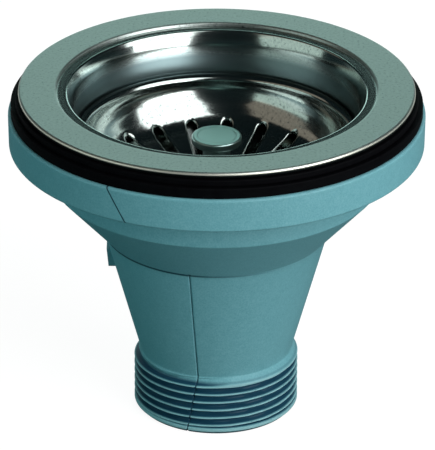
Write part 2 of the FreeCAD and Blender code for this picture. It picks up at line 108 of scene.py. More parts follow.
# Pressed sheet of the basket; its slots are rounded over by the punch above and sharp below
basket_sheet = 0.7 * MM
rim_wide = 2.3 * MM
rim_turn = 2.2 * MM
rim_bend = 0.55 * MM
rim_in_bend = 1.9 * MM
basket_knuckle_r = 36.6 * MM
basket_knuckle_high = 6.2 * MM
basket_floor_r = 20 * MM
basket_bend = 9.5 * MM
basket_hole_r = 3.2 * MM
slot_wide = 3.1 * MM
slot_in_r = 20.6 * MM
slot_out_r = 34.8 * MM
slot_count = 20
slot_angle = math.radians(12.8)
slot_edge_above = 0.58 * MM
slot_edge_below = 0.08 * MM
slot_margin_in = 1.6 * MM
slot_margin_out = 0.9 * MM

# Turned knob
stem_r = 4 * MM
disc_high = 2.5 * MM
disc_edge = 0.6 * MM
disc_low_edge = 0.7 * MM
stem_bend = 0.8 * MM
dish_rim = 1.4 * MM
dish_slope = 0.4 * MM
dish_deep = 0.12 * MM
pin_bore_r = pin_high[0] + fit_gap

# Moulded body
body_wall = 3 * MM
collar_r = 60 * MM
collar_low_r = 59.8 * MM
skirt_edge = collar_top - 10.1 * MM
skirt_wall = 2.6 * MM
band_r = 47.4 * MM
band_edge = skirt_edge - 10.75 * MM
waist = cup_floor - 5 * MM
waist_r = 32.7 * MM
waist_bend = 1.2 * MM
shoulder_lean = math.radians(45)
cone_top = waist - 2 * MM
cone_top_r = 32 * MM
cone_low_r = 22.1 * MM
cone_bend = 1.5 * MM
outlet_long = 17 * MM
outlet_flare = 0.9 * MM
outlet_chamfer = 1.1 * MM
neck_bend = 3 * MM
mouth_bend = 2 * MM
bore_edge = 0.4 * MM
outer_edge = 0.8 * MM
inner_edge = 0.5 * MM
fine_edge = 0.3 * MM

# Hub, webs and lug of the body
hub_r = 9.5 * MM
hub_top = cup_low[2]
hub_foot = hub_top - 20 * MM
hub_edge = 0.4 * MM
insert_seat_edge = 0.2 * MM
insert_seat_r = insert_high[0] + fit_gap
screw_hole_r = 5.3 * MM
web_wall = 2.4 * MM
web_high = 12 * MM
web_lift = 0.4 * MM
web_count = 4
lug_wide = 8 * MM
lug_high = 5.6 * MM
lug_top = cone_top - 3.5 * MM
lug_proud_low = 1.7 * MM
lug_proud_top = 0.75 * MM
lug_angle = math.pi
grown_in = 1 * MM

# The front's own angle about the axis
front = math.radians(270)

# Outlet thread: six crests counted on the front, the uppermost one a little below the ledge
thread_pitch = 2.5 * MM
thread_deep = 1.5 * MM
thread_crest = 15.4 * MM
thread_fade_from = 16.72 * MM
thread_fade_long = 0.2 * MM
thread_lip = 1.9 * MM
thread_start_long = 0.625 * MM
crest_share = 0.12
flank_share = 0.24

# Parting lines of the mould, as angles from the front (left is negative)
seam_angle = math.radians(-13.7)
outlet_seam_foot = math.radians(-21)
collar_seam_top = math.radians(-30.9)
collar_seam_foot = math.radians(-25.1)
seam_wide = 0.18 * MM
seam_deep = 0.6 * MM
seam_reach = 5 * seam_wide
stray_margin = 3 * seam_wide

# Mesh fineness: steps along a section, columns round a piece, and points along one end and one
# side of a hole
ARC_STEP = math.radians(5)
RUN_STEP = 2.5 * MM
THREAD_STEP = 0.2 * MM
GUARD = 0.2 * MM
WELD = 0.5e-6
SHARP = math.radians(50)
body_columns = 160
seam_columns = 13
stray_columns = 30
hub_columns = 96
knob_columns = 120
gasket_columns = 240
drain_points = (36, 24)
slot_points = (14, 26)

# Sockets of a Mix node that mixes colours
SHARE, UNDER, OVER = 0, 6, 7


def linear(code):
    """A colour written as sRGB hex, in linear light: each channel is divided by 12.92 below the
    toe and raised to 2.4 above it."""
    channels = np.array([int(code[start:start + 2], 16) for start in (1, 3, 5)]) / 255
    low = channels / 12.92
    high = ((channels + 0.055) / 1.055) ** 2.4
    return (*np.where(channels <= 0.04045, low, high).tolist(), 1.0)


def grid_quads(rows, columns, wrap_rows=False):
    """Corner numbers of a grid's quads, whose columns close into rings and whose rows may."""
    row = np.arange(rows if wrap_rows else rows - 1)[:, None]
    column = np.arange(columns)[None, :]
    next_row = (row + 1) % rows
    next_column = (column + 1) % columns
    corners = [row * columns + column, row * columns + next_column,
               next_row * columns + next_column, next_row * columns + column]
    return np.stack(corners, axis=-1).reshape(-1, 4)


def run_points(start, end):
    """Points inside a straight run: one close to each end, so that shading stays flat, and the
    rest evenly spaced."""
    long = float(np.linalg.norm(end - start))
    if long < 3 * GUARD:
        return np.empty((0, 2))
    shares = np.linspace(0, 1, math.ceil(long / RUN_STEP) + 1)[1:-1]
    near = GUARD / long
    shares = np.concatenate([[near], shares[(shares > 2 * near) & (shares < 1 - 2 * near)], [1 - near]])
    return start + shares[:, None] * (end - start)


def rounded(corners, closed=False):
    """A line through corners given as (radius, height, bend): straight runs, joined at each corner
    by an arc of that bend that touches both. From its start the arc is bend * (sin a along the
    first run + (1 - cos a) across it), with a from 0 to the angle between the runs."""
    places = np.array([corner[:2] for corner in corners])
    bends = [corner[2] for corner in corners]
    count = len(corners)
    arcs = []
    for number in range(count):
        here = places[number]
        if bends[number] == 0 or (not closed and number in (0, count - 1)):
            arcs.append(here[None, :])
            continue
        came = here - places[number - 1]
        goes = places[(number + 1) % count] - here
        came = came / np.linalg.norm(came)
        goes = goes / np.linalg.norm(goes)
        angle = math.acos(float(np.clip(came @ goes, -1, 1)))
        across = goes - came * (came @ goes)
        across = across / np.linalg.norm(across)
        start = here - came * bends[number] * math.tan(angle / 2)
        turn = np.linspace(0, angle, max(2, math.ceil(angle / ARC_STEP)) + 1)[:, None]
        arcs.append(start + bends[number] * (np.sin(turn) * came + (1 - np.cos(turn)) * across))
    line = []
    for number, arc in enumerate(arcs):
        line.append(arc)
        if not closed and number == count - 1:
            break
        line.append(run_points(arc[-1], arcs[(number + 1) % count][0]))
    return np.concatenate(line)


def finer(line, run, gap):
    """The same section with close points along one of its straight runs."""
    first, last = np.flatnonzero(run)[[0, -1]]
    long = np.linalg.norm(line[last] - line[first])
    shares = np.linspace(0, 1, math.ceil(long / gap) + 1)[1:-1, None]
    between = line[first] + shares * (line[last] - line[first])
    return np.concatenate([line[:first + 1], between, line[last:]])


def even_angles(count, start=0.0):
    """Angles evenly spaced round a full turn."""
    return start + np.arange(count) * 2 * np.pi / count


def turned(line, angles):
    """Carry a line of (radius, height) round the waste's axis: x = radius cos a, y = radius sin a."""
    radius = line[:, 0][:, None]
    height = line[:, 1][:, None] + 0 * angles
    return np.stack([radius * np.cos(angles), radius * np.sin(angles), height], axis=-1)


def closed_ring(line, angles):
    """A closed section carried round the axis, as points and quads."""
    strip = turned(line, angles)
    return strip.reshape(-1, 3), grid_quads(*strip.shape[:2], wrap_rows=True)


def block(section, half_wide, angle):
    """A straight web or lug: a section of four (radius, height) corners pushed to both sides of a
    plane through the axis, and turned to its angle. Its two ends are the section itself."""
    count = len(section)
    sides = np.array([-half_wide, half_wide])
    along = np.repeat(section[:, 0][None, :], 2, axis=0)
    across = np.repeat(sides[:, None], count, axis=1)
    height = np.repeat(section[:, 1][None, :], 2, axis=0)
    x = along * math.cos(angle) - across * math.sin(angle)
    y = along * math.sin(angle) + across * math.cos(angle)
    points = np.stack([x, y, height], axis=-1).reshape(-1, 3)
    ends = np.arange(2 * count).reshape(2, count)
    return points, np.concatenate([grid_quads(2, count), ends])


def under_skin(line, sheet):
    """The sheet's lower skin: each point of the upper one moved by the sheet's thickness across
    the line's own direction."""
    along = np.gradient(line, axis=0)
    along = along / np.linalg.norm(along, axis=1, keepdims=True)
    across = np.stack([along[:, 1], -along[:, 0]], axis=-1)
    return line + sheet * across


def part_of(line, low, high):
    """The stretch of a line between two radii, with an exact point at each of them."""
    radius, height = line.T
    inside = line[(radius > low + WELD) & (radius < high - WELD)]
    ends = np.array([[edge, np.interp(edge, radius, height)] for edge in (low, high)])
    return np.concatenate([ends[:1], inside, ends[1:]])


def past(line, low):
    """The stretch of a line from a radius to its end, with an exact point at the radius."""
    radius, height = line.T
    first = np.array([[low, np.interp(low, radius, height)]])
    return np.concatenate([first, line[radius > low + WELD]])


def cut_edge(upper, lower):
    """The sheet's rounded end: half a flattened circle from the upper skin to the lower one."""
    flattened = 0.8
    middle = (upper[-1] + lower[-1]) / 2
    out = upper[-1] - upper[-2]
    out = out / np.linalg.norm(out)
    side = upper[-1] - middle
    reach = flattened * np.linalg.norm(side)
    turn = np.radians([30, 60, 90, 120, 150])[:, None]
    return middle + np.cos(turn) * side + np.sin(turn) * reach * out


def hole_loop(inner, outer, half, ends, sides, grow=0.0):
    """A round-ended hole along X: a circle of that half width whose centre runs between the two
    ends. Along the edge the centre stays at the outer end, travels inwards and stays at the inner
    end, while the circle's angle turns, holds and turns on. The second half is the first one
    turned by 180 degrees about the hole's middle. It may be grown by a margin."""
    run = outer - inner - 2 * half
    quarter = half * np.pi / 2
    end = np.linspace(-quarter / 2, quarter / 2, ends, endpoint=False)
    side = np.linspace(quarter / 2, quarter * 1.5 + run, sides, endpoint=False)
    way = np.concatenate([end, side])
    centre = np.clip(outer - half - (way - quarter), inner + half, outer - half)
    angle = (way - np.clip(way - quarter, 0, run)) / half
    half_loop = np.stack([centre + (half + grow) * np.cos(angle), (half + grow) * np.sin(angle)], axis=-1)
    middle = np.array([inner + outer, 0.0])
    return np.concatenate([half_loop, middle - half_loop])


def sector_loop(inner, outer, half_angle, ends, sides):
    """The edge of one hole's share of the ring: outer arc, side, inner arc and the other side."""
    sweep = np.linspace(-half_angle, half_angle, ends, endpoint=False)
    way_in = np.linspace(outer, inner, sides, endpoint=False)
    way_out = np.linspace(inner, outer, sides, endpoint=False)
    radius = np.concatenate([np.full(ends, outer), way_in, np.full(ends, inner), way_out])
    angle = np.concatenate([sweep, np.full(sides, half_angle), -sweep, np.full(sides, -half_angle)])
    return np.stack([radius * np.cos(angle), radius * np.sin(angle)], axis=-1)


def skin_rings(skin, border, hole, points, edge, way):
    """Rings on one skin of a sheet, from a border to a hole and over the hole's rounded edge. A
    point's height is the skin's height at its radius, less way * edge * (1 - cos a) where it
    stands edge * (1 - sin a) from the hole; way is 1 on the upper skin and -1 on the lower."""
    shares = np.array([0, 0.35, 0.65, 0.85, 1])[:, None, None]
    turn = np.radians([20, 40, 60, 75, 90])
    near = hole_loop(*hole, *points, edge)
    flat = border + shares * (near - border)
    bend = np.stack([hole_loop(*hole, *points, edge * (1 - math.sin(a))) for a in turn])
    plan = np.concatenate([flat, bend])
    drop = np.concatenate([np.zeros(len(shares)), way * edge * (1 - np.cos(turn))])
    height = np.interp(np.linalg.norm(plan, axis=-1), *skin.T) - drop[:, None]
    return np.concatenate([plan, height[..., None]], axis=-1)


def pierced_ring(upper, lower, ring, hole, count, start, points, edges):
    """The ring of a pressed sheet that holds its holes. Each hole's share is a band of rings: in
    on the upper skin, down the hole's wall and back out on the lower skin. The shares are the
    first one turned by even angles: x cos t - y sin t and x sin t + y cos t."""
    border = sector_loop(*ring, np.pi / count, *points)
    above = skin_rings(upper, border, hole, points, edges[0], 1)
    below = skin_rings(lower, border, hole, points, edges[1], -1)
    band = np.concatenate([above, below[::-1]])
    turns = even_angles(count, start)[:, None, None]
    x = band[..., 0] * np.cos(turns) - band[..., 1] * np.sin(turns)
    y = band[..., 0] * np.sin(turns) + band[..., 1] * np.cos(turns)
    z = band[..., 2] + 0 * turns
    shares = np.stack([x, y, z], axis=-1)
    rows, columns = band.shape[:2]
    shift = np.arange(count)[:, None, None] * rows * columns
    return shares.reshape(-1, 3), (grid_quads(rows, columns) + shift).reshape(-1, 4)


def pressed_sheet(corners, sheet, ring, hole, count, start, points, edges):
    """A pressed round sheet with a ring of holes: its centre and its outer wall are turned strips
    that go out on the upper skin and back on the lower, and the pierced ring joins them. The ring
    is given by its inner and outer radius, a hole by its inner and outer end and half width, and
    the hole's edges by their radii above and below."""
    upper = rounded(corners)
    lower = under_skin(upper, sheet)
    inner, outer = ring
    middle_r = upper[0, 0]
    angles = even_angles(count * points[0], start - np.pi / count)
    centre = np.concatenate([part_of(upper, middle_r, inner)[::-1], part_of(lower, middle_r, inner)])
    wall_up = past(upper, outer)
    wall_low = past(lower, outer)
    wall = np.concatenate([wall_up, cut_edge(wall_up, wall_low), wall_low[::-1]])
    strips = [turned(centre, angles), turned(wall, angles)]
    parts = [(strip.reshape(-1, 3), grid_quads(*strip.shape[:2])) for strip in strips]
    parts.append(pierced_ring(upper, lower, ring, hole, count, start, points, edges))
    return parts


def new_piece(name, parts, body, material, node):
    """One mesh from several arrays of points and quads, welded, facing outwards and smooth, which
    rides on a body and stands for a CAD node."""
    counts = np.cumsum([0] + [len(points) for points, _ in parts])
    points = np.concatenate([part[0] for part in parts])
    quads = np.concatenate([part[1] + shift for part, shift in zip(parts, counts)])
    mesh = bpy.data.meshes.new(name)
    mesh.vertices.add(len(points))
    mesh.vertices.foreach_set("co", points.astype(np.float32).ravel())
    mesh.loops.add(quads.size)
    mesh.loops.foreach_set("vertex_index", quads.astype(np.int32).ravel())
    mesh.polygons.add(len(quads))
    mesh.polygons.foreach_set("loop_start", np.arange(0, quads.size, 4, dtype=np.int32))
    mesh.update(calc_edges=True)
    shell = bmesh.new()
    shell.from_mesh(mesh)
    bmesh.ops.remove_doubles(shell, verts=shell.verts, dist=WELD)
    bmesh.ops.dissolve_degenerate(shell, edges=shell.edges, dist=WELD / 10)
    bmesh.ops.recalc_face_normals(shell, faces=shell.faces)
    shell.to_mesh(mesh)
    shell.free()
    mesh.shade_smooth()
    mesh.set_sharp_from_angle(angle=SHARP)
    piece = bpy.data.objects.new(name, mesh)
    bpy.context.scene.collection.objects.link(piece)
    mesh.materials.append(material)
    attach(piece, body)
    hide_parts(node)


def add(tree, kind, inputs=None, stops=(), **settings):
    """Add a node with its settings, and a ramp's stops as (position, colour). An input that is
    given a node or a socket is linked to it, and any other value is written."""
    node = tree.nodes.new("ShaderNode" + kind)
    for key, value in settings.items():
        setattr(node, key, value)
    for key, value in (inputs or {}).items():
        if isinstance(value, bpy.types.Node):
            value = next(socket for socket in value.outputs if socket.enabled)
        if isinstance(value, bpy.types.NodeSocket):
            tree.links.new(value, node.inputs[key])
        else:
            node.inputs[key].default_value = value
    if stops:
        elements = node.color_ramp.elements
        while len(elements) < len(stops):
            elements.new(0.5)
        for element, (position, code) in zip(elements, stops):
            element.position = position
            element.color = linear(code)
    return node


def new_material(name):
    """An empty node material, and the piece's own coordinates in it."""
    material = bpy.data.materials.new(name)
    material.use_nodes = True
    tree = material.node_tree
    tree.nodes.clear()
    place = add(tree, "TexCoord").outputs["Object"]
    return material, tree, place


def about_axis(tree, place):
    """The x, y and z of a place, and its distance from the waste's axis."""
    axes = add(tree, "SeparateXYZ", {"Vector": place}).outputs
    flat = add(tree, "CombineXYZ", {"X": axes["X"], "Y": axes["Y"]})
    radius = add(tree, "VectorMath", {"Vector": flat}, operation="LENGTH")
    return axes["X"], axes["Y"], axes["Z"], radius


def thread_painted_light(tree, colour, z, radius):
    """The thread's painted light: its crests painted pale as a highlight, and its roots painted dark as
    shade.
    """
    crest_highlight_deep = 0.3 * MM
    crest_highlight_full = thread_fade_from - 0.8 * MM
    crest_highlight_most = 0.6
    root_shade_from = outlet_r - 0.12 * MM
    root_shade_full = outlet_r - 0.6 * MM
    root_shade_top = outlet_long - 1 * MM
    crest = add(tree, "MapRange", {
        "Value": radius, "From Min": outlet_r - crest_highlight_deep, "From Max": outlet_r, "To Max": crest_highlight_most,
    })
    threaded = add(tree, "MapRange", {"Value": z, "From Min": thread_fade_from, "From Max": crest_highlight_full})
    crest_highlight = add(tree, "Math", {0: threaded, 1: crest}, operation="MULTIPLY")
    # Painted highlight: the thread's crests paler
    colour = add(tree, "Mix", {SHARE: crest_highlight, UNDER: colour, OVER: linear("#9cc6ca")}, data_type="RGBA")
    # Painted shade: the thread's roots darker
    root = add(tree, "MapRange", {"Value": radius, "From Min": root_shade_from, "From Max": root_shade_full})
    low = add(tree, "MapRange", {"Value": z, "From Min": outlet_long, "From Max": root_shade_top})
    painted_shade = add(tree, "Math", {0: root, 1: low}, operation="MULTIPLY")
    return add(tree, "Mix", {SHARE: painted_shade, UNDER: colour, OVER: linear("#133f54")}, data_type="RGBA")


def painted_shade_lines(tree, colour, x, y, z, radius):
    """Painted shade in two thin lines of the moulding: the collar's parting line, whose angle slants with
    height, painted dark as the shade of a groove, and the crease under the shoulder, which fades out to
    the right."""
    soft_half = 0.35 * MM
    dark_half = 0.15 * MM
    crease = waist - 0.4 * MM
    crease_soft_half = 0.5 * MM
    # Angles from the front in radians, where the crease has no painted shade and where its painted shade
    # is full
    unshaded_angle = 0.7
    shaded_angle = -0.3
    ahead = add(tree, "Math", {0: y, 1: -1.0}, operation="MULTIPLY")
    turn = add(tree, "Math", {0: x, 1: ahead}, operation="ARCTAN2")
    slant = add(tree, "MapRange", {
        "Value": z, "From Min": skirt_edge, "From Max": collar_top,
        "To Min": collar_seam_foot, "To Max": collar_seam_top,
    })
    away = add(tree, "Math", {0: turn, 1: slant}, operation="SUBTRACT")
    away = add(tree, "Math", {0: away}, operation="ABSOLUTE")
    seam = add(tree, "MapRange", {
        "Value": away, "From Min": soft_half / collar_r, "From Max": dark_half / collar_r,
    })
    on_collar = add(tree, "Math", {0: radius, 1: collar_low_r - skirt_wall / 2}, operation="GREATER_THAN")
    seam = add(tree, "Math", {0: seam, 1: on_collar}, operation="MULTIPLY")
    over = add(tree, "Math", {0: z, 1: crease}, operation="SUBTRACT")
    over = add(tree, "Math", {0: over}, operation="ABSOLUTE")
    fold = add(tree, "MapRange", {"Value": over, "From Min": crease_soft_half, "From Max": dark_half})
    left = add(tree, "MapRange", {"Value": turn, "From Min": unshaded_angle, "From Max": shaded_angle})
    fold = add(tree, "Math", {0: fold, 1: left}, operation="MULTIPLY")
    # Painted shade along the parting line and the crease
    painted_shade = add(tree, "Math", {0: seam, 1: fold}, operation="MAXIMUM")
    return add(tree, "Mix", {SHARE: painted_shade, UNDER: colour, OVER: linear("#123640")}, data_type="RGBA")


def moulded_polypropylene():
    """Grey-green polypropylene, injection moulded: a soft half-gloss over faintly mottled colour,
    with the fine grain of the mould, drawn coarser than it is so that it shows."""
    material, tree, place = new_material("moulded_polypropylene")
    x, y, z, radius = about_axis(tree, place)
    blotch_size = 2.4 * MM
    grain_size = 0.45 * MM
    grain_deep = 0.08 * MM
    blotch = add(tree, "TexNoise", {
        "Vector": place, "Scale": 1 / blotch_size, "Detail": 3.0, "Roughness": 0.6,
    })
    grain = add(tree, "TexNoise", {
        "Vector": place, "Scale": 1 / grain_size, "Detail": 2.0, "Roughness": 0.55,
    })
    mottle = add(tree, "Mix", {"Factor": 0.7, "A": blotch, "B": grain})
    colour = add(tree, "ValToRGB", {"Fac": mottle}, [
        (0.30, "#5f98a1"), (0.50, "#69a2ab"), (0.70, "#75acb4"),
    ])
    # Painted highlight on the thread's crests; painted shade in its roots, in the collar's parting line
    # and in the crease under the shoulder
    colour = thread_painted_light(tree, colour, z, radius)
    colour = painted_shade_lines(tree, colour, x, y, z, radius)
    rough = add(tree, "MapRange", {"Value": blotch, "To Min": 0.42, "To Max": 0.54})
    bump = add(tree, "Bump", {"Strength": 0.35, "Distance": grain_deep, "Height": grain})
    shader = add(tree, "BsdfPrincipled", {
        "Base Color": colour, "Roughness": rough, "Normal": bump, "IOR": 1.49, "Specular IOR Level": 0.3,
    })
    add(tree, "OutputMaterial", {"Surface": shader})
    return material


def edge_highlight_and_shade(tree, colour, z, radius):
    """The flange's cut edge: a pale painted highlight just under its top, and dark painted shade below
    that.
    """
    edge_in = flange_r - 0.3 * MM
    edge_highlight_top = flange_top - 0.15 * MM
    edge_highlight_full = flange_top - 0.4 * MM
    edge_shade_top = flange_top - 0.6 * MM
    edge_shade_full = flange_top - 0.9 * MM
    on_edge = add(tree, "Math", {0: radius, 1: edge_in}, operation="GREATER_THAN")
    edge_highlight = add(tree, "MapRange", {"Value": z, "From Min": edge_highlight_top, "From Max": edge_highlight_full})
    edge_highlight = add(tree, "Math", {0: on_edge, 1: edge_highlight}, operation="MULTIPLY")
    # Painted highlight: a pale band just under the edge's top
    colour = add(tree, "Mix", {SHARE: edge_highlight, UNDER: colour, OVER: linear("#e4e6d8")}, data_type="RGBA")
    # Painted shade: the edge darker below the highlight
    edge_shade = add(tree, "MapRange", {"Value": z, "From Min": edge_shade_top, "From Max": edge_shade_full})
    edge_shade = add(tree, "Math", {0: on_edge, 1: edge_shade}, operation="MULTIPLY")
    return add(tree, "Mix", {SHARE: edge_shade, UNDER: colour, OVER: linear("#1c2122")}, data_type="RGBA")


def bellied_walls(tree, z):
    """A slight belly in the drawn walls of the cup and the basket, as a bump that rises smoothly
    from each wall's head to its foot, so that they mirror light from higher up."""
    cup_head = flange_top - 5 * MM
    cup_rise = 1.6 * MM
    basket_head = rim_top - 2.5 * MM
    basket_foot = rim_top - 11 * MM
    basket_rise = 1.8 * MM
    cup_belly = add(tree, "MapRange", {
        "Value": z, "From Min": cup_head, "From Max": rim_top, "To Max": cup_rise,
    }, interpolation_type="SMOOTHSTEP")
    basket_belly = add(tree, "MapRange", {
        "Value": z, "From Min": basket_head, "From Max": basket_foot, "To Max": basket_rise,
    }, interpolation_type="SMOOTHSTEP")
    belly = add(tree, "Math", {0: cup_belly, 1: basket_belly}, operation="ADD")
    return add(tree, "Bump", {"Strength": 1.0, "Distance": 1.0, "Height": belly})


def pressed_stainless():
    """Stainless sheet, deep drawn: the flange is left satin and specked by the rolls, the cup's wall
    is dulled by the drawing, and the mouth and the basket are polished almost to a mirror, with
    faint rings from the wheel. Specks and rings are drawn coarser than they are so that they show."""
    material, tree, place = new_material("pressed_stainless")
    _, _, z, radius = about_axis(tree, place)
    speck_size = 0.8 * MM
    ring_gap = 0.5 * MM
    satin_from = step_r - 0.6 * MM
    satin_full = step_r + 0.4 * MM
    drawn_in = rim_r + 0.3 * MM
    drawn_top = flange_top - 4.5 * MM
    drawn_full = drawn_top - 4 * MM
    speck = add(tree, "TexNoise", {
        "Vector": place, "Scale": 1 / speck_size, "Detail": 3.0, "Roughness": 0.65,
    })
    way = add(tree, "Math", {0: radius, 1: z}, operation="SUBTRACT")
    rings = add(tree, "TexNoise", {"W": way, "Scale": 1 / ring_gap, "Detail": 2.0}, noise_dimensions="1D")
    satin = add(tree, "MapRange", {"Value": radius, "From Min": satin_from, "From Max": satin_full})
    on_wall = add(tree, "Math", {0: radius, 1: drawn_in}, operation="GREATER_THAN")
    below = add(tree, "MapRange", {"Value": z, "From Min": drawn_top, "From Max": drawn_full})
    drawn = add(tree, "Math", {0: on_wall, 1: below}, operation="MULTIPLY")
    polished_rough = add(tree, "MapRange", {"Value": rings, "To Min": 0.10, "To Max": 0.16})
    drawn_rough = add(tree, "MapRange", {"Value": speck, "To Min": 0.30, "To Max": 0.36})
    satin_rough = add(tree, "MapRange", {"Value": speck, "To Min": 0.38, "To Max": 0.5})
    rough = add(tree, "Mix", {"Factor": drawn, "A": polished_rough, "B": drawn_rough})
    rough = add(tree, "Mix", {"Factor": satin, "A": rough, "B": satin_rough})
    colour = add(tree, "ValToRGB", {"Fac": speck}, [
        (0.28, "#727e7b"), (0.42, "#a4aeab"), (0.75, "#b4beba"),
    ])
    colour = add(tree, "Mix", {SHARE: drawn, UNDER: colour, OVER: linear("#687a7c")}, data_type="RGBA")
    # Painted highlight and painted shade on the flange's cut edge
    colour = edge_highlight_and_shade(tree, colour, z, radius)
    shader = add(tree, "BsdfPrincipled", {
        "Base Color": colour, "Roughness": rough, "Normal": bellied_walls(tree, z), "Metallic": 1.0,
    })
    add(tree, "OutputMaterial", {"Surface": shader})
    return material


def moulded_rubber():
    """Black nitrile rubber, moulded: nearly black, dull, with a dusty bloom in patches."""
    material, tree, place = new_material("moulded_nitrile_rubber")
    bloom_size = 3 * MM
    bloom_deep = 0.06 * MM
    bloom = add(tree, "TexNoise", {
        "Vector": place, "Scale": 1 / bloom_size, "Detail": 4.0, "Roughness": 0.6,
    })
    colour = add(tree, "ValToRGB", {"Fac": bloom}, [(0.35, "#020204"), (0.75, "#060709")])
    rough = add(tree, "MapRange", {"Value": bloom, "To Min": 0.6, "To Max": 0.75})
    bump = add(tree, "Bump", {"Strength": 0.3, "Distance": bloom_deep, "Height": bloom})
    shader = add(tree, "BsdfPrincipled", {
        "Base Color": colour, "Roughness": rough, "Normal": bump, "IOR": 1.52, "Specular IOR Level": 0.04,
    })
    add(tree, "OutputMaterial", {"Surface": shader})
    return material


def turned_metal(name, dark, pale, rough_low, rough_high):
    """A turned metal: bright, with fine rings left by the tool about the waste's axis, drawn
    coarser than they are so that they show."""
    material, tree, place = new_material(name)
    _, _, z, radius = about_axis(tree, place)
    feed = 0.3 * MM
    ring_deep = 0.02 * MM
    way = add(tree, "Math", {0: radius, 1: z}, operation="ADD")
    rings = add(tree, "TexNoise", {"W": way, "Scale": 1 / feed, "Detail": 2.0}, noise_dimensions="1D")
    colour = add(tree, "ValToRGB", {"Fac": rings}, [(0.3, dark), (0.7, pale)])
    rough = add(tree, "MapRange", {"Value": rings, "To Min": rough_low, "To Max": rough_high})
    bump = add(tree, "Bump", {"Strength": 0.04, "Distance": ring_deep, "Height": rings})
    shader = add(tree, "BsdfPrincipled", {
        "Base Color": colour, "Roughness": rough, "Normal": bump, "Metallic": 1.0,
    })
    add(tree, "OutputMaterial", {"Surface": shader})
    return material


def thread_dip(angles, heights):
    """How far the outlet's surface lies below the thread's crest. The phase is height / pitch less
    the share of a turn, so the ridges climb to the right. The groove has a flat root and sloping
    flanks up to a narrow crest. It fades out where its own middle nears the thread's upper end, and
    it starts a little above the outlet's end."""
    phase = (heights - thread_crest) / thread_pitch - (angles - front) / (2 * np.pi)
    groove = np.floor(phase) + 0.5
    wave = np.clip((0.5 - crest_share / 2 - np.abs(phase - groove)) / flank_share, 0, 1)
    groove_high = heights + thread_pitch * (groove - phase)
    fade = np.clip((thread_fade_from - groove_high) / thread_fade_long, 0, 1)
    start = np.clip((heights - thread_lip) / thread_start_long, 0, 1)
    return thread_deep * wave * fade * start


def seam_dip(angles, radius, middle):
    """Depth of a parting line: a narrow bell across the angle, as wide at any radius."""
    away = (np.mod(angles - front - middle + np.pi, 2 * np.pi) - np.pi) * radius
    return seam_deep * np.exp(-(away / seam_wide) ** 2)


def body_angles():
    """Columns of the body: even ones, with finer ones across the cone's two parting lines and over
    the stretch in which the front one strays on the outlet."""
    across = np.linspace(-seam_reach, seam_reach, seam_columns) / cone_low_r
    seams = [front + seam_angle + across, front + seam_angle + np.pi + across]
    past_foot = outlet_seam_foot - stray_margin / cone_low_r
    strayed = front + np.linspace(past_foot, seam_angle, stray_columns)
    angles = np.concatenate([even_angles(body_columns), *seams, strayed])
    # Angles that agree to five decimals are one column
    return np.unique(np.round(np.mod(angles, 2 * np.pi), 5))


def outer_side(line):
    """Which points of the body's closed section lie on its outside: those before it turns over the
    collar's top edge."""
    top = np.argmax(line[:, 1] > collar_top - WELD)
    return np.arange(len(line)) < top


def body_section():
    """The moulding's closed section: up its outside from the outlet's bore to the collar's top, and
    back down its inside. It has close points along the thread."""
    mitre = body_wall * math.tan(shoulder_lean / 2)
    skirt_in_r = collar_low_r - skirt_wall
    channel_top = collar_top - body_wall
    mouth = band_r - body_wall
    line = rounded([
        (outlet_bore_r, 0, bore_edge),
        (outlet_r - outlet_chamfer, 0, fine_edge),
        (outlet_r, outlet_chamfer, fine_edge),
        (outlet_r, outlet_long - outlet_flare, fine_edge),
        (cone_low_r, outlet_long + outlet_flare, outer_edge),
        (cone_top_r, cone_top, cone_bend),
        (waist_r, waist, waist_bend),
        (band_r, band_edge, outer_edge),
        (band_r, channel_top, inner_edge),
        (skirt_in_r, channel_top, inner_edge),
        (skirt_in_r, skirt_edge, inner_edge),
        (collar_low_r, skirt_edge, outer_edge),
        (collar_r, collar_top, outer_edge),
        (mouth, collar_top, inner_edge),
        (mouth, band_edge + mitre, mouth_bend),
        (waist_r - body_wall, waist + mitre, cone_bend),
        (cone_top_r - body_wall, cone_top, cone_bend),
        (outlet_bore_r, outlet_long, neck_bend),
    ], closed=True)
    on_thread = (np.abs(line[:, 0] - outlet_r) < WELD) & outer_side(line)
    return finer(line, on_thread, THREAD_STEP)


def body_shell():
    """The section turned about the axis, with the thread and the cone's parting lines sunk into its
    outside: radius less the depth of each, at every angle and height."""
    line = body_section()
    angles = body_angles()
    radius = line[:, 0][:, None]
    height = line[:, 1][:, None]
    outside = outer_side(line)[:, None]
    on_outlet = outside & (height < outlet_long + outlet_flare)
    on_cone = outside & (height < waist)
    strayed = np.clip(1 - height / outlet_long, 0, 1) * (outlet_seam_foot - seam_angle)
    dip = np.where(on_outlet, thread_dip(angles, height), 0)
    dip = dip + np.where(on_cone, seam_dip(angles, radius, seam_angle + strayed), 0)
    dip = dip + np.where(on_cone, seam_dip(angles, radius, seam_angle + np.pi), 0)
    reach = radius - dip
    shell = np.stack([reach * np.cos(angles), reach * np.sin(angles), height + 0 * angles], axis=-1)
    return shell.reshape(-1, 3), grid_quads(*shell.shape[:2], wrap_rows=True)


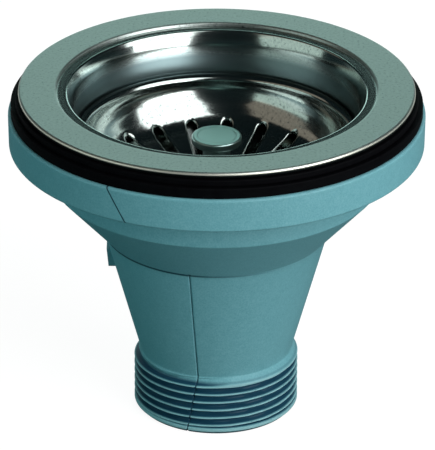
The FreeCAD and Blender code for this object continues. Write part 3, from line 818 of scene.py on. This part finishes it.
def make_body(material):
    """The moulding: its turned shell, and the hub, its webs and the lug grown into its wall."""
    hub = rounded([
        (screw_hole_r, hub_foot, fine_edge),
        (hub_r, hub_foot, outer_edge),
        (hub_r, hub_top, hub_edge),
        (insert_seat_r, hub_top, insert_seat_edge),
        (insert_seat_r, insert_foot, 0),
        (screw_hole_r, insert_foot, 0),
    ], closed=True)
    slope = (cone_top_r - cone_low_r) / (cone_top - outlet_long)
    web_in = hub_r - grown_in
    web_reach = cone_low_r - body_wall / 2 + slope * (hub_foot - outlet_long)
    web_foot = hub_foot + web_lift
    web_top = hub_foot + web_high
    web = np.array([(web_in, web_foot), (web_reach, web_foot),
                    (web_reach + slope * web_high, web_top), (web_in, web_top)])
    lug_foot = lug_top - lug_high
    wall_low = cone_low_r + slope * (lug_foot - outlet_long)
    wall_top = cone_low_r + slope * (lug_top - outlet_long)
    lug = np.array([(wall_low - grown_in, lug_foot), (wall_low + lug_proud_low, lug_foot),
                    (wall_top + lug_proud_top, lug_top), (wall_top - grown_in, lug_top)])
    parts = [body_shell(), closed_ring(hub, even_angles(hub_columns))]
    parts += [block(web, web_wall / 2, angle) for angle in even_angles(web_count)]
    parts.append(block(lug, lug_wide / 2, lug_angle))
    new_piece("moulded_body", parts, "drain", material, "waste_body")


def make_cup(material):
    """The pressed cup: floor with a ring of drain holes, knuckle, wall, mouth, ledge, step, flat
    flange and its rim turned down."""
    ledge = flange_top - step_drop
    corners = [
        (cup_hole_r, cup_floor, 0),
        (cup_floor_r, cup_floor, cup_bend),
        (cup_knuckle_r, cup_floor + cup_knuckle_high, cup_bend),
        (throat_r, ledge - throat_drop, throat_bend),
        (mouth_r, ledge, lip_bend),
        (step_r, ledge, step_bend),
        (step_r + step_lean, flange_top, lip_bend),
        (flange_r, flange_top, lip_bend),
        (flange_r, flange_under + cup_sheet / 2, 0),
    ]
    hole_in = drain_circle_r - drain_r
    hole_out = drain_circle_r + drain_r
    ring = (hole_in - drain_margin_in, hole_out + drain_margin_out)
    hole = (hole_in, hole_out, drain_r)
    start = np.pi / drain_count
    edges = (drain_edge, drain_edge)
    parts = pressed_sheet(corners, cup_sheet, ring, hole, drain_count, start, drain_points, edges)
    new_piece("pressed_cup", parts, "drain", material, "strainer_cup")


def make_basket(material):
    """The pressed basket: flat floor, sloping bottom with radial slots, wall, rolled rim."""
    rim_in_r = rim_r - rim_wide
    corners = [
        (basket_hole_r, basket_floor, 0),
        (basket_floor_r, basket_floor, basket_bend),
        (basket_knuckle_r, basket_floor + basket_knuckle_high, basket_bend),
        (rim_in_r, rim_top, rim_in_bend),
        (rim_r, rim_top, rim_bend),
        (rim_r, rim_top - rim_turn + basket_sheet / 2, 0),
    ]
    ring = (slot_in_r - slot_margin_in, slot_out_r + slot_margin_out)
    hole = (slot_in_r, slot_out_r, slot_wide / 2)
    edges = (slot_edge_above, slot_edge_below)
    parts = pressed_sheet(corners, basket_sheet, ring, hole, slot_count, slot_angle, slot_points, edges)
    new_piece("pressed_basket", parts, "basket", material, "basket")


def make_knob(material):
    """The turned knob: a disc with a rounded edge and a faint dish in its top, on a plain stem."""
    disc_foot = knob_top - disc_high
    dish_r = knob_r - dish_rim - dish_slope
    dish_floor = knob_top - dish_deep
    line = rounded([
        (pin_bore_r, basket_floor, 0),
        (stem_r, basket_floor, 0),
        (stem_r, disc_foot, stem_bend),
        (knob_r, disc_foot, disc_low_edge),
        (knob_r, knob_top, disc_edge),
        (knob_r - dish_rim, knob_top, disc_edge),
        (dish_r, dish_floor, disc_edge),
        (0, dish_floor, 0),
        (0, pin_top, 0),
        (pin_bore_r, pin_top, 0),
    ], closed=True)
    parts = [closed_ring(line, even_angles(knob_columns))]
    new_piece("turned_knob", parts, "basket", material, "basket_knob")


def make_gasket(name, node, inner_r, material):
    """A flat gasket with softly rounded edges."""
    low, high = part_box(node)
    foot, head, outer_r = low[2], high[2], high[0]
    line = rounded([
        (inner_r, foot, gasket_edge),
        (outer_r, foot, gasket_edge),
        (outer_r, head, gasket_edge),
        (inner_r, head, gasket_edge),
    ], closed=True)
    parts = [closed_ring(line, even_angles(gasket_columns))]
    new_piece(name, parts, "drain", material, node)


def dress_nodes(finishes):
    """Give the pieces that keep their CAD shape their finish."""
    for node, finish in finishes.items():
        slots = frame["nodes"][node].data.materials
        slots.clear()
        slots.append(finish)


def pale_floor():
    """Matt studio card: white to the camera, with a soft shadow, and white in the metal from a
    little way off, while near the part it stays a grey that throws little light up at it."""
    near, far = 0.25, 0.9
    camera_share = 0.8
    material, tree, place = new_material("matt_studio_card")
    rays = add(tree, "LightPath").outputs
    coat = add(tree, "Mix", {
        SHARE: rays["Is Camera Ray"], UNDER: linear("#566868"), OVER: linear("#f4f4f2"),
    }, data_type="RGBA")
    card = add(tree, "BsdfDiffuse", {"Color": coat})
    glow = add(tree, "Emission", {"Color": linear("#ffffff"), "Strength": 1.16})
    mirrored = add(tree, "Math", {
        0: rays["Is Glossy Ray"], 1: rays["Is Transmission Ray"],
    }, operation="MAXIMUM")
    away = add(tree, "VectorMath", {"Vector": place}, operation="LENGTH")
    distant = add(tree, "MapRange", {"Value": away, "From Min": near, "From Max": far})
    mirrored = add(tree, "Math", {0: mirrored, 1: distant}, operation="MULTIPLY")
    direct = add(tree, "Math", {0: rays["Is Camera Ray"], 1: camera_share}, operation="MULTIPLY")
    share = add(tree, "Math", {0: direct, 1: mirrored}, operation="MAXIMUM")
    above = add(tree, "MixShader", {0: share, 1: card, 2: glow})
    below = add(tree, "NewGeometry").outputs["Backfacing"]
    clear = add(tree, "BsdfTransparent")
    surface = add(tree, "MixShader", {0: below, 1: above, 2: clear})
    add(tree, "OutputMaterial", {"Surface": surface})
    return material


def make_floor():
    """A pale round floor, level with the outlet's end and clear from below."""
    floor_r = 4.0
    floor_gap = 0.05 * MM
    rings, columns = 9, 64
    ring = np.linspace(floor_r, 0, rings)
    flat = turned(np.stack([ring, 0 * ring - floor_gap], axis=-1), even_angles(columns))
    mesh = bpy.data.meshes.new("floor")
    mesh.from_pydata(flat.reshape(-1, 3).tolist(), [], grid_quads(*flat.shape[:2]).tolist())
    mesh.materials.append(pale_floor())
    floor = bpy.data.objects.new("floor", mesh)
    bpy.context.scene.collection.objects.link(floor)


def make_world():
    """A plain dark studio, pale only low down behind the part, where a backdrop would be. Each ramp
    runs over the sine of the elevation."""
    world = bpy.data.worlds.new("studio")
    bpy.context.scene.world = world
    world.use_nodes = True
    tree = world.node_tree
    tree.nodes.clear()
    way = add(tree, "TexCoord").outputs["Generated"]
    axes = add(tree, "SeparateXYZ", {"Vector": way}).outputs
    behind = add(tree, "ValToRGB", {"Fac": axes["Z"]}, [
        (0.00, "#c8d8d6"), (0.12, "#8fa5a4"), (0.26, "#1a2527"), (0.85, "#161f21"),
    ])
    before = add(tree, "ValToRGB", {"Fac": axes["Z"]}, [
        (0.00, "#2a3a3c"), (0.26, "#1a2426"), (0.80, "#161f21"),
    ])
    side = add(tree, "MapRange", {"Value": axes["Y"], "From Min": 0.35, "From Max": 0.9})
    colour = add(tree, "Mix", {SHARE: side, UNDER: before, OVER: behind}, data_type="RGBA")
    sky = add(tree, "Background", {"Color": colour, "Strength": 1.0})
    add(tree, "OutputWorld", {"Surface": sky})


def around(azimuth, elevation, distance, target):
    """A place seen from the target: azimuth from the front towards +X, elevation above the floor."""
    azimuth = math.radians(azimuth)
    elevation = math.radians(elevation)
    flat = distance * math.cos(elevation)
    rise = distance * math.sin(elevation)
    return target + Vector((flat * math.sin(azimuth), -flat * math.cos(azimuth), rise))


def make_lamp(name, azimuth, elevation, wide, high, radiance, colour, mirrored=True):
    """A soft panel that faces the part, and may be kept out of its reflections. Its power is
    radiance * pi * area."""
    distance = 0.9
    target = Vector((0, 0, collar_top))
    lamp = bpy.data.lights.new(name, "AREA")
    lamp.shape = "RECTANGLE"
    lamp.size = wide
    lamp.size_y = high
    lamp.energy = radiance * math.pi * wide * high
    lamp.color = linear(colour)[:3]
    panel = bpy.data.objects.new(name, lamp)
    panel.location = around(azimuth, elevation, distance, target)
    panel.rotation_mode = "QUATERNION"
    panel.rotation_quaternion = (target - panel.location).to_track_quat("-Z", "Y")
    panel.visible_glossy = mirrored
    bpy.context.scene.collection.objects.link(panel)


def make_lights():
    """The studio's lamps, each by its azimuth and elevation in degrees, its width and height in
    metres, its radiance and its colour. The two on the right light the plastic and make the white
    patches at the bowl's back left. The two behind give the flange and the knob their grey, and the
    two on the left make the dimmer patches on the bowl's right. The fills aren't mirrored and
    lighten the plastic's shaded sides."""
    make_lamp("right_window", 48, 38, 0.93, 0.7, 2.95, "#ffffff")
    make_lamp("right_strip", 45, 9, 0.74, 0.3, 6.6, "#ffffff")
    make_lamp("back_panel", 180, 10.5, 0.66, 0.33, 1.42, "#dafff8")
    make_lamp("back_top", 180, 39, 0.3, 0.2, 1.75, "#d4fff6")
    make_lamp("left_panel", -75, 37, 1.3, 0.34, 0.36, "#ffe9d6")
    make_lamp("left_strip", -62, 16, 0.9, 0.32, 0.95, "#ecfff6")
    make_lamp("left_fill", -68, 8, 1.1, 0.34, 1.4, "#9cf6ff", mirrored=False)
    make_lamp("back_fill", 180, 25, 1.2, 0.5, 0.9, "#ffffff", mirrored=False)


def make_camera():
    """The photo's view, fitted to its outlines: a long lens from the front that looks down, with a
    slight roll."""
    elevation = 25.97
    distance = 1.648
    roll = math.radians(0.2)
    target = Vector((0.32 * MM, 0, 56.31 * MM))
    lens = bpy.data.cameras.new("camera")
    lens.sensor_width = 36
    lens.lens = 454.6
    lens.clip_end = 20
    camera = bpy.data.objects.new("camera", lens)
    camera.location = around(0, elevation, distance, target)
    look = (target - camera.location).to_track_quat("-Z", "Y")
    camera.rotation_mode = "QUATERNION"
    camera.rotation_quaternion = look @ Quaternion((0, 0, 1), roll)
    bpy.context.scene.collection.objects.link(camera)
    bpy.context.scene.camera = camera


polypropylene = moulded_polypropylene()
stainless = pressed_stainless()
rubber = moulded_rubber()
# Warm yellow brass, bright neutral steel, and satin chrome over brass, cool and faintly green
brass = turned_metal("turned_brass", "#b48f45", "#d9bc74", 0.22, 0.34)
steel = turned_metal("bright_turned_steel", "#a9adb0", "#c9cdd0", 0.2, 0.32)
chrome = turned_metal("satin_chromed_brass", "#a8c6c2", "#b2cfcb", 0.3, 0.36)

make_body(polypropylene)
make_cup(stainless)
make_basket(stainless)
make_knob(chrome)
make_gasket("sink_gasket", "flange_gasket", mouth_r + cup_sheet + gasket_gap, rubber)
make_gasket("collar_gasket", "body_gasket", band_r - body_wall, rubber)
dress_nodes({
    "brass_insert": brass,
    "screw_washer": steel,
    "fixing_screw": steel,
    "basket_pin": steel,
    "seal_washer": steel,
    "retaining_clip": steel,
    "pin_ring": rubber,
    "plug_seal": rubber,
})

make_floor()
make_world()
make_lights()
make_camera()
bpy.context.scene.view_settings.view_transform = "Standard"
